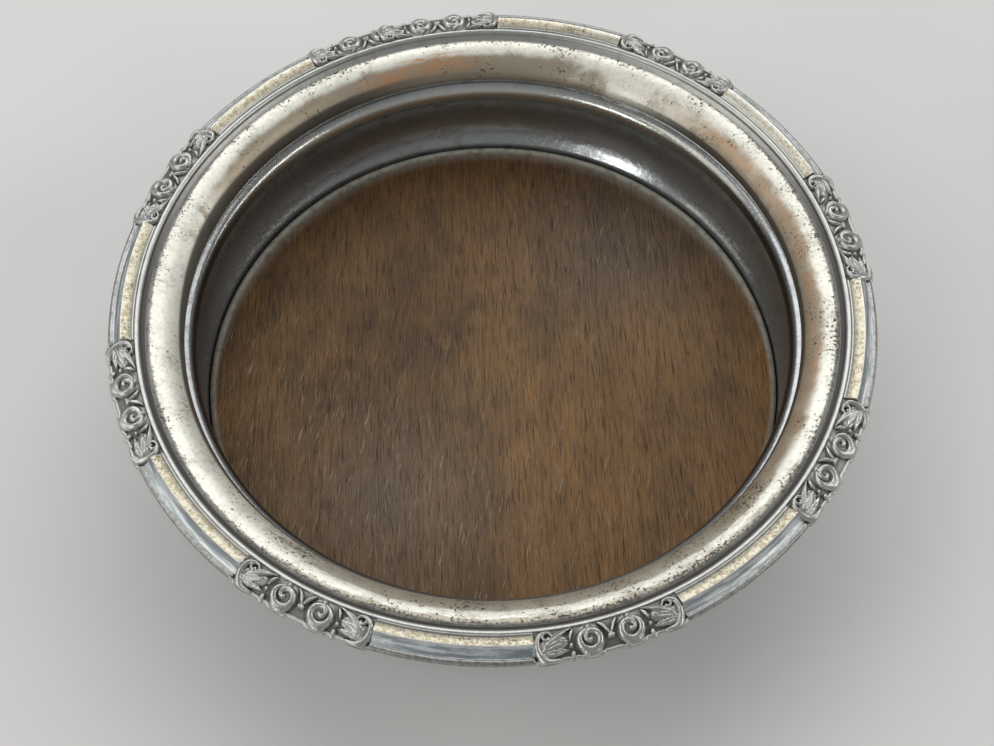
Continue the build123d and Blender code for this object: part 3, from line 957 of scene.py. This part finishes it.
def hollows(height):
    """How far each point stands above what is round it, from 0 in a hollow to 1 on a crest."""
    mean = height.copy()
    for _ in range(SHADE_PASSES):
        mean[1:-1] = mean[1:-1] / 2 + (mean[:-2] + mean[2:]) / 4
        mean[:, 1:-1] = mean[:, 1:-1] / 2 + (mean[:, :-2] + mean[:, 2:]) / 4
    return np.clip(0.5 + (height - mean) / SHADE_DEPTH, 0, 1)


# %% [markdown]
# ### Lengths of border
# Eight equal lengths and a short closing piece make the ring, as a maker would cut them from struck
# strip. Each is a grid of points round and across, fine on the panel and coarse on the plain run,
# closed below and at its ends. The scrolls swell past the rim a little, so its outline isn't a plain
# circle.

# %% Angles and grids
SECTION_PITCH, PANEL_ANGLE, SEAM = 43.4, 21.4, 121.4
SECTIONS = 8
BED_RADIUS = RIM_RADIUS - 3.3
PANEL_REACH = radians(PANEL_ANGLE) * BED_RADIUS / 2
PANEL_STEP, PLAIN_STEP = 0.14, 0.9
BULGE = 0.3


def border_angles(first, last, panel_start):
    """Angles along a length, in degrees: wide apart on its plain run and close on its panel."""
    plain = np.array([])
    if first < panel_start:
        plain = np.arange(first, panel_start, np.degrees(PLAIN_STEP / BED_RADIUS))
    fine = np.arange(max(first, panel_start), last, np.degrees(PANEL_STEP / BED_RADIUS))
    return np.r_[plain, fine, last]


def border_grid(angles, height, relief):
    """Points and faces of a closed length of border with a height for each place."""
    columns, rows = len(angles), len(across) + 2
    swell = relief[:, across > EDGE_IN].max(axis=1, keepdims=True)
    outline = np.r_[0, across, BORDER_WIDTH]
    reach = BORDER_INNER + outline + BULGE * swell * step(outline, EDGE_IN, BORDER_WIDTH)
    v = np.c_[np.zeros(columns), height, np.zeros(columns)]
    theta = np.radians(angles)[:, None]
    points = np.stack([reach * np.cos(theta), reach * np.sin(theta), SEAT + v], axis=-1)
    faces = [face[::-1] for face in ring_faces(columns, rows, False)]
    faces += [tuple(reversed(range(rows))), tuple(range((columns - 1) * rows, columns * rows))]
    return points.reshape(-1, 3), faces


# %% Layers of a length
def border_layers(angles, height, relief, in_panel):
    """The numbers that the border's plate reads, one for each place on the grid."""
    in_plain = 1 - in_panel
    bed_zone = step(across, TUBE_OUT - 0.1, TUBE_OUT + 0.2) * (across < 7.3)
    sunk = in_panel * (1 - step(relief, 0.0, 0.7)) * bed_zone
    far_side = facing(np.radians(angles), 90, 80)
    bold = band(across, BOLD_IN - 0.1, BOLD_IN + 0.2, BOLD_OUT - 0.3, BOLD_OUT + 0.1)
    kept = 1 - 0.55 * facing(np.radians(angles), 48, 30)[:, None]
    hollow = band(across, BOLD_OUT, BOLD_OUT + 0.2, EDGE_IN - 0.1, EDGE_IN + 0.2)
    return {
        # Relief darkens hollows and the sunk bed: tarnish and painted shade together.
        "relief": hollows(height) * (1 - 0.45 * sunk),
        # Painted shade on the tube's inner side, weak on the far side.
        "tube_side": np.outer(1 - 0.9 * far_side, 1 - step(across, 0.9, 1.25)),
        "cream": bold * in_plain * kept,
        "cavetto": hollow * in_plain,
        "rim": step(across, EDGE_IN - 0.1, EDGE_IN + 0.2) * in_plain,
    }


# %% All the lengths
def border_piece(node, first, last, panel_middle):
    """One length of border from a first to a last angle, in degrees."""
    angles = border_angles(first, last, panel_middle - PANEL_ANGLE / 2)
    along = np.radians(angles - panel_middle) * BED_RADIUS
    scroll, relief = panel_heights(along)
    in_panel = step(along, -PANEL_REACH - 0.05, -PANEL_REACH + 0.25)[:, None]
    height = plain_line * (1 - in_panel) + scroll * in_panel
    points, faces = border_grid(angles, height, relief * in_panel)
    piece = make_piece(f"{node}_struck", points, faces, border_plate, [node])
    under = np.zeros((len(angles), 1))
    layers = border_layers(angles, height, relief, in_panel)
    mark(piece, **{name: np.c_[under, values, under] for name, values in layers.items()})


for number in range(SECTIONS):
    start = SEAM + number * SECTION_PITCH
    end = start + SECTION_PITCH
    border_piece(f"border_section_{number + 1}", start, end, end - PANEL_ANGLE / 2)
last_end = SEAM + 360
closing_start = SEAM + SECTIONS * SECTION_PITCH
border_piece("border_closing_section", closing_start, last_end, last_end - PANEL_ANGLE / 2)

# %% [markdown]
# ## The baize
# A disc of wool felt glued under the base, so that the coaster slides without a scratch. A cloth
# simulation has nothing to do on a sheet that lies flat, so it is turned like the wood, with a
# slightly uneven cut edge.

# %% Baize pad
BAIZE_RADIUS, CUT_UNEVEN = 64.0, 0.15
BAIZE_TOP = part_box("baize_pad")[1][2] / MM

wave = 1 + 0.0016 * np.sin(TURNS * 7 + 0.6) + 0.0012 * np.sin(TURNS * 17)
rings = np.linspace(0, BAIZE_RADIUS - CUT_UNEVEN, 40)
baize_section = np.vstack([np.c_[rings, rings * 0], np.c_[rings[::-1], rings * 0 + BAIZE_TOP]])
points, faces = turned_solid(baize_section, wave)
baize_pad = make_piece("baize_pad_felt", points, faces, baize, ["baize_pad"])

# %% [markdown]
# ## Floor and light
# Metal shows what is round it, so a plain pale floor and large soft boxes suit it better than small
# bright lamps. The largest box stands behind and above, where the rounded flange looks, a small one
# in front gives the wall its highlight, and two at the sides and the world fill the shadows.

# %% Floor
FLOOR_HALF = 1.5
FLOOR_PALE, FLOOR_PALER = (0.70, 0.69, 0.67, 1), (0.74, 0.73, 0.71, 1)

floor_mesh = bpy.data.meshes.new("floor")
floor_corners = [(x * FLOOR_HALF, y * FLOOR_HALF, 0) for x, y in ((-1, -1), (1, -1), (1, 1), (-1, 1))]
floor_mesh.from_pydata(floor_corners, [], [(0, 1, 2, 3)])
floor = bpy.data.objects.new("floor", floor_mesh)
bpy.context.scene.collection.objects.link(floor)
pale, tree, shader = new_material("pale_floor", Roughness=0.8)
mottle = noise(tree, place(tree), 0.02, detail=2.0)
dress(tree, shader, Base_Color=blend(tree, mottle, FLOOR_PALE, FLOOR_PALER))
floor_mesh.materials.append(pale)
print("floor", 2 * FLOOR_HALF, "m wide")

# %% World and lamps
WORLD_COLOUR, WORLD_STRENGTH = (0.62, 0.64, 0.66, 1), 0.5
COOL, DAY, WARM = (0.95, 0.98, 1.0), (0.97, 0.98, 1.0), (1.0, 0.98, 0.95)

world = bpy.data.worlds.new("studio")
world.use_nodes = True
world.node_tree.nodes["Background"].inputs["Color"].default_value = WORLD_COLOUR
world.node_tree.nodes["Background"].inputs["Strength"].default_value = WORLD_STRENGTH
bpy.context.scene.world = world


def soft_box(name, at, size, power, colour):
    """An area lamp that looks at the coaster."""
    lamp = bpy.data.lights.new(name, "AREA")
    lamp.shape = "RECTANGLE"
    lamp.size, lamp.size_y = size
    lamp.energy = power
    lamp.color = colour
    holder = bpy.data.objects.new(name, lamp)
    holder.location = at
    holder.rotation_euler = Vector(at).to_track_quat("Z", "Y").to_euler()
    bpy.context.scene.collection.objects.link(holder)


soft_box("front_window", (-0.72, -0.78, 0.36), (0.34, 0.26), 1.6, COOL)
soft_box("back_window", (0.0, 0.75, 0.95), (1.6, 0.7), 8.0, DAY)
soft_box("left_fill", (-0.9, -0.1, 0.7), (0.6, 0.9), 3.0, WARM)
soft_box("right_fill", (0.95, -0.1, 0.6), (0.8, 0.1), 2.5, WARM)
bpy.context.scene.view_settings.view_transform = "Standard"
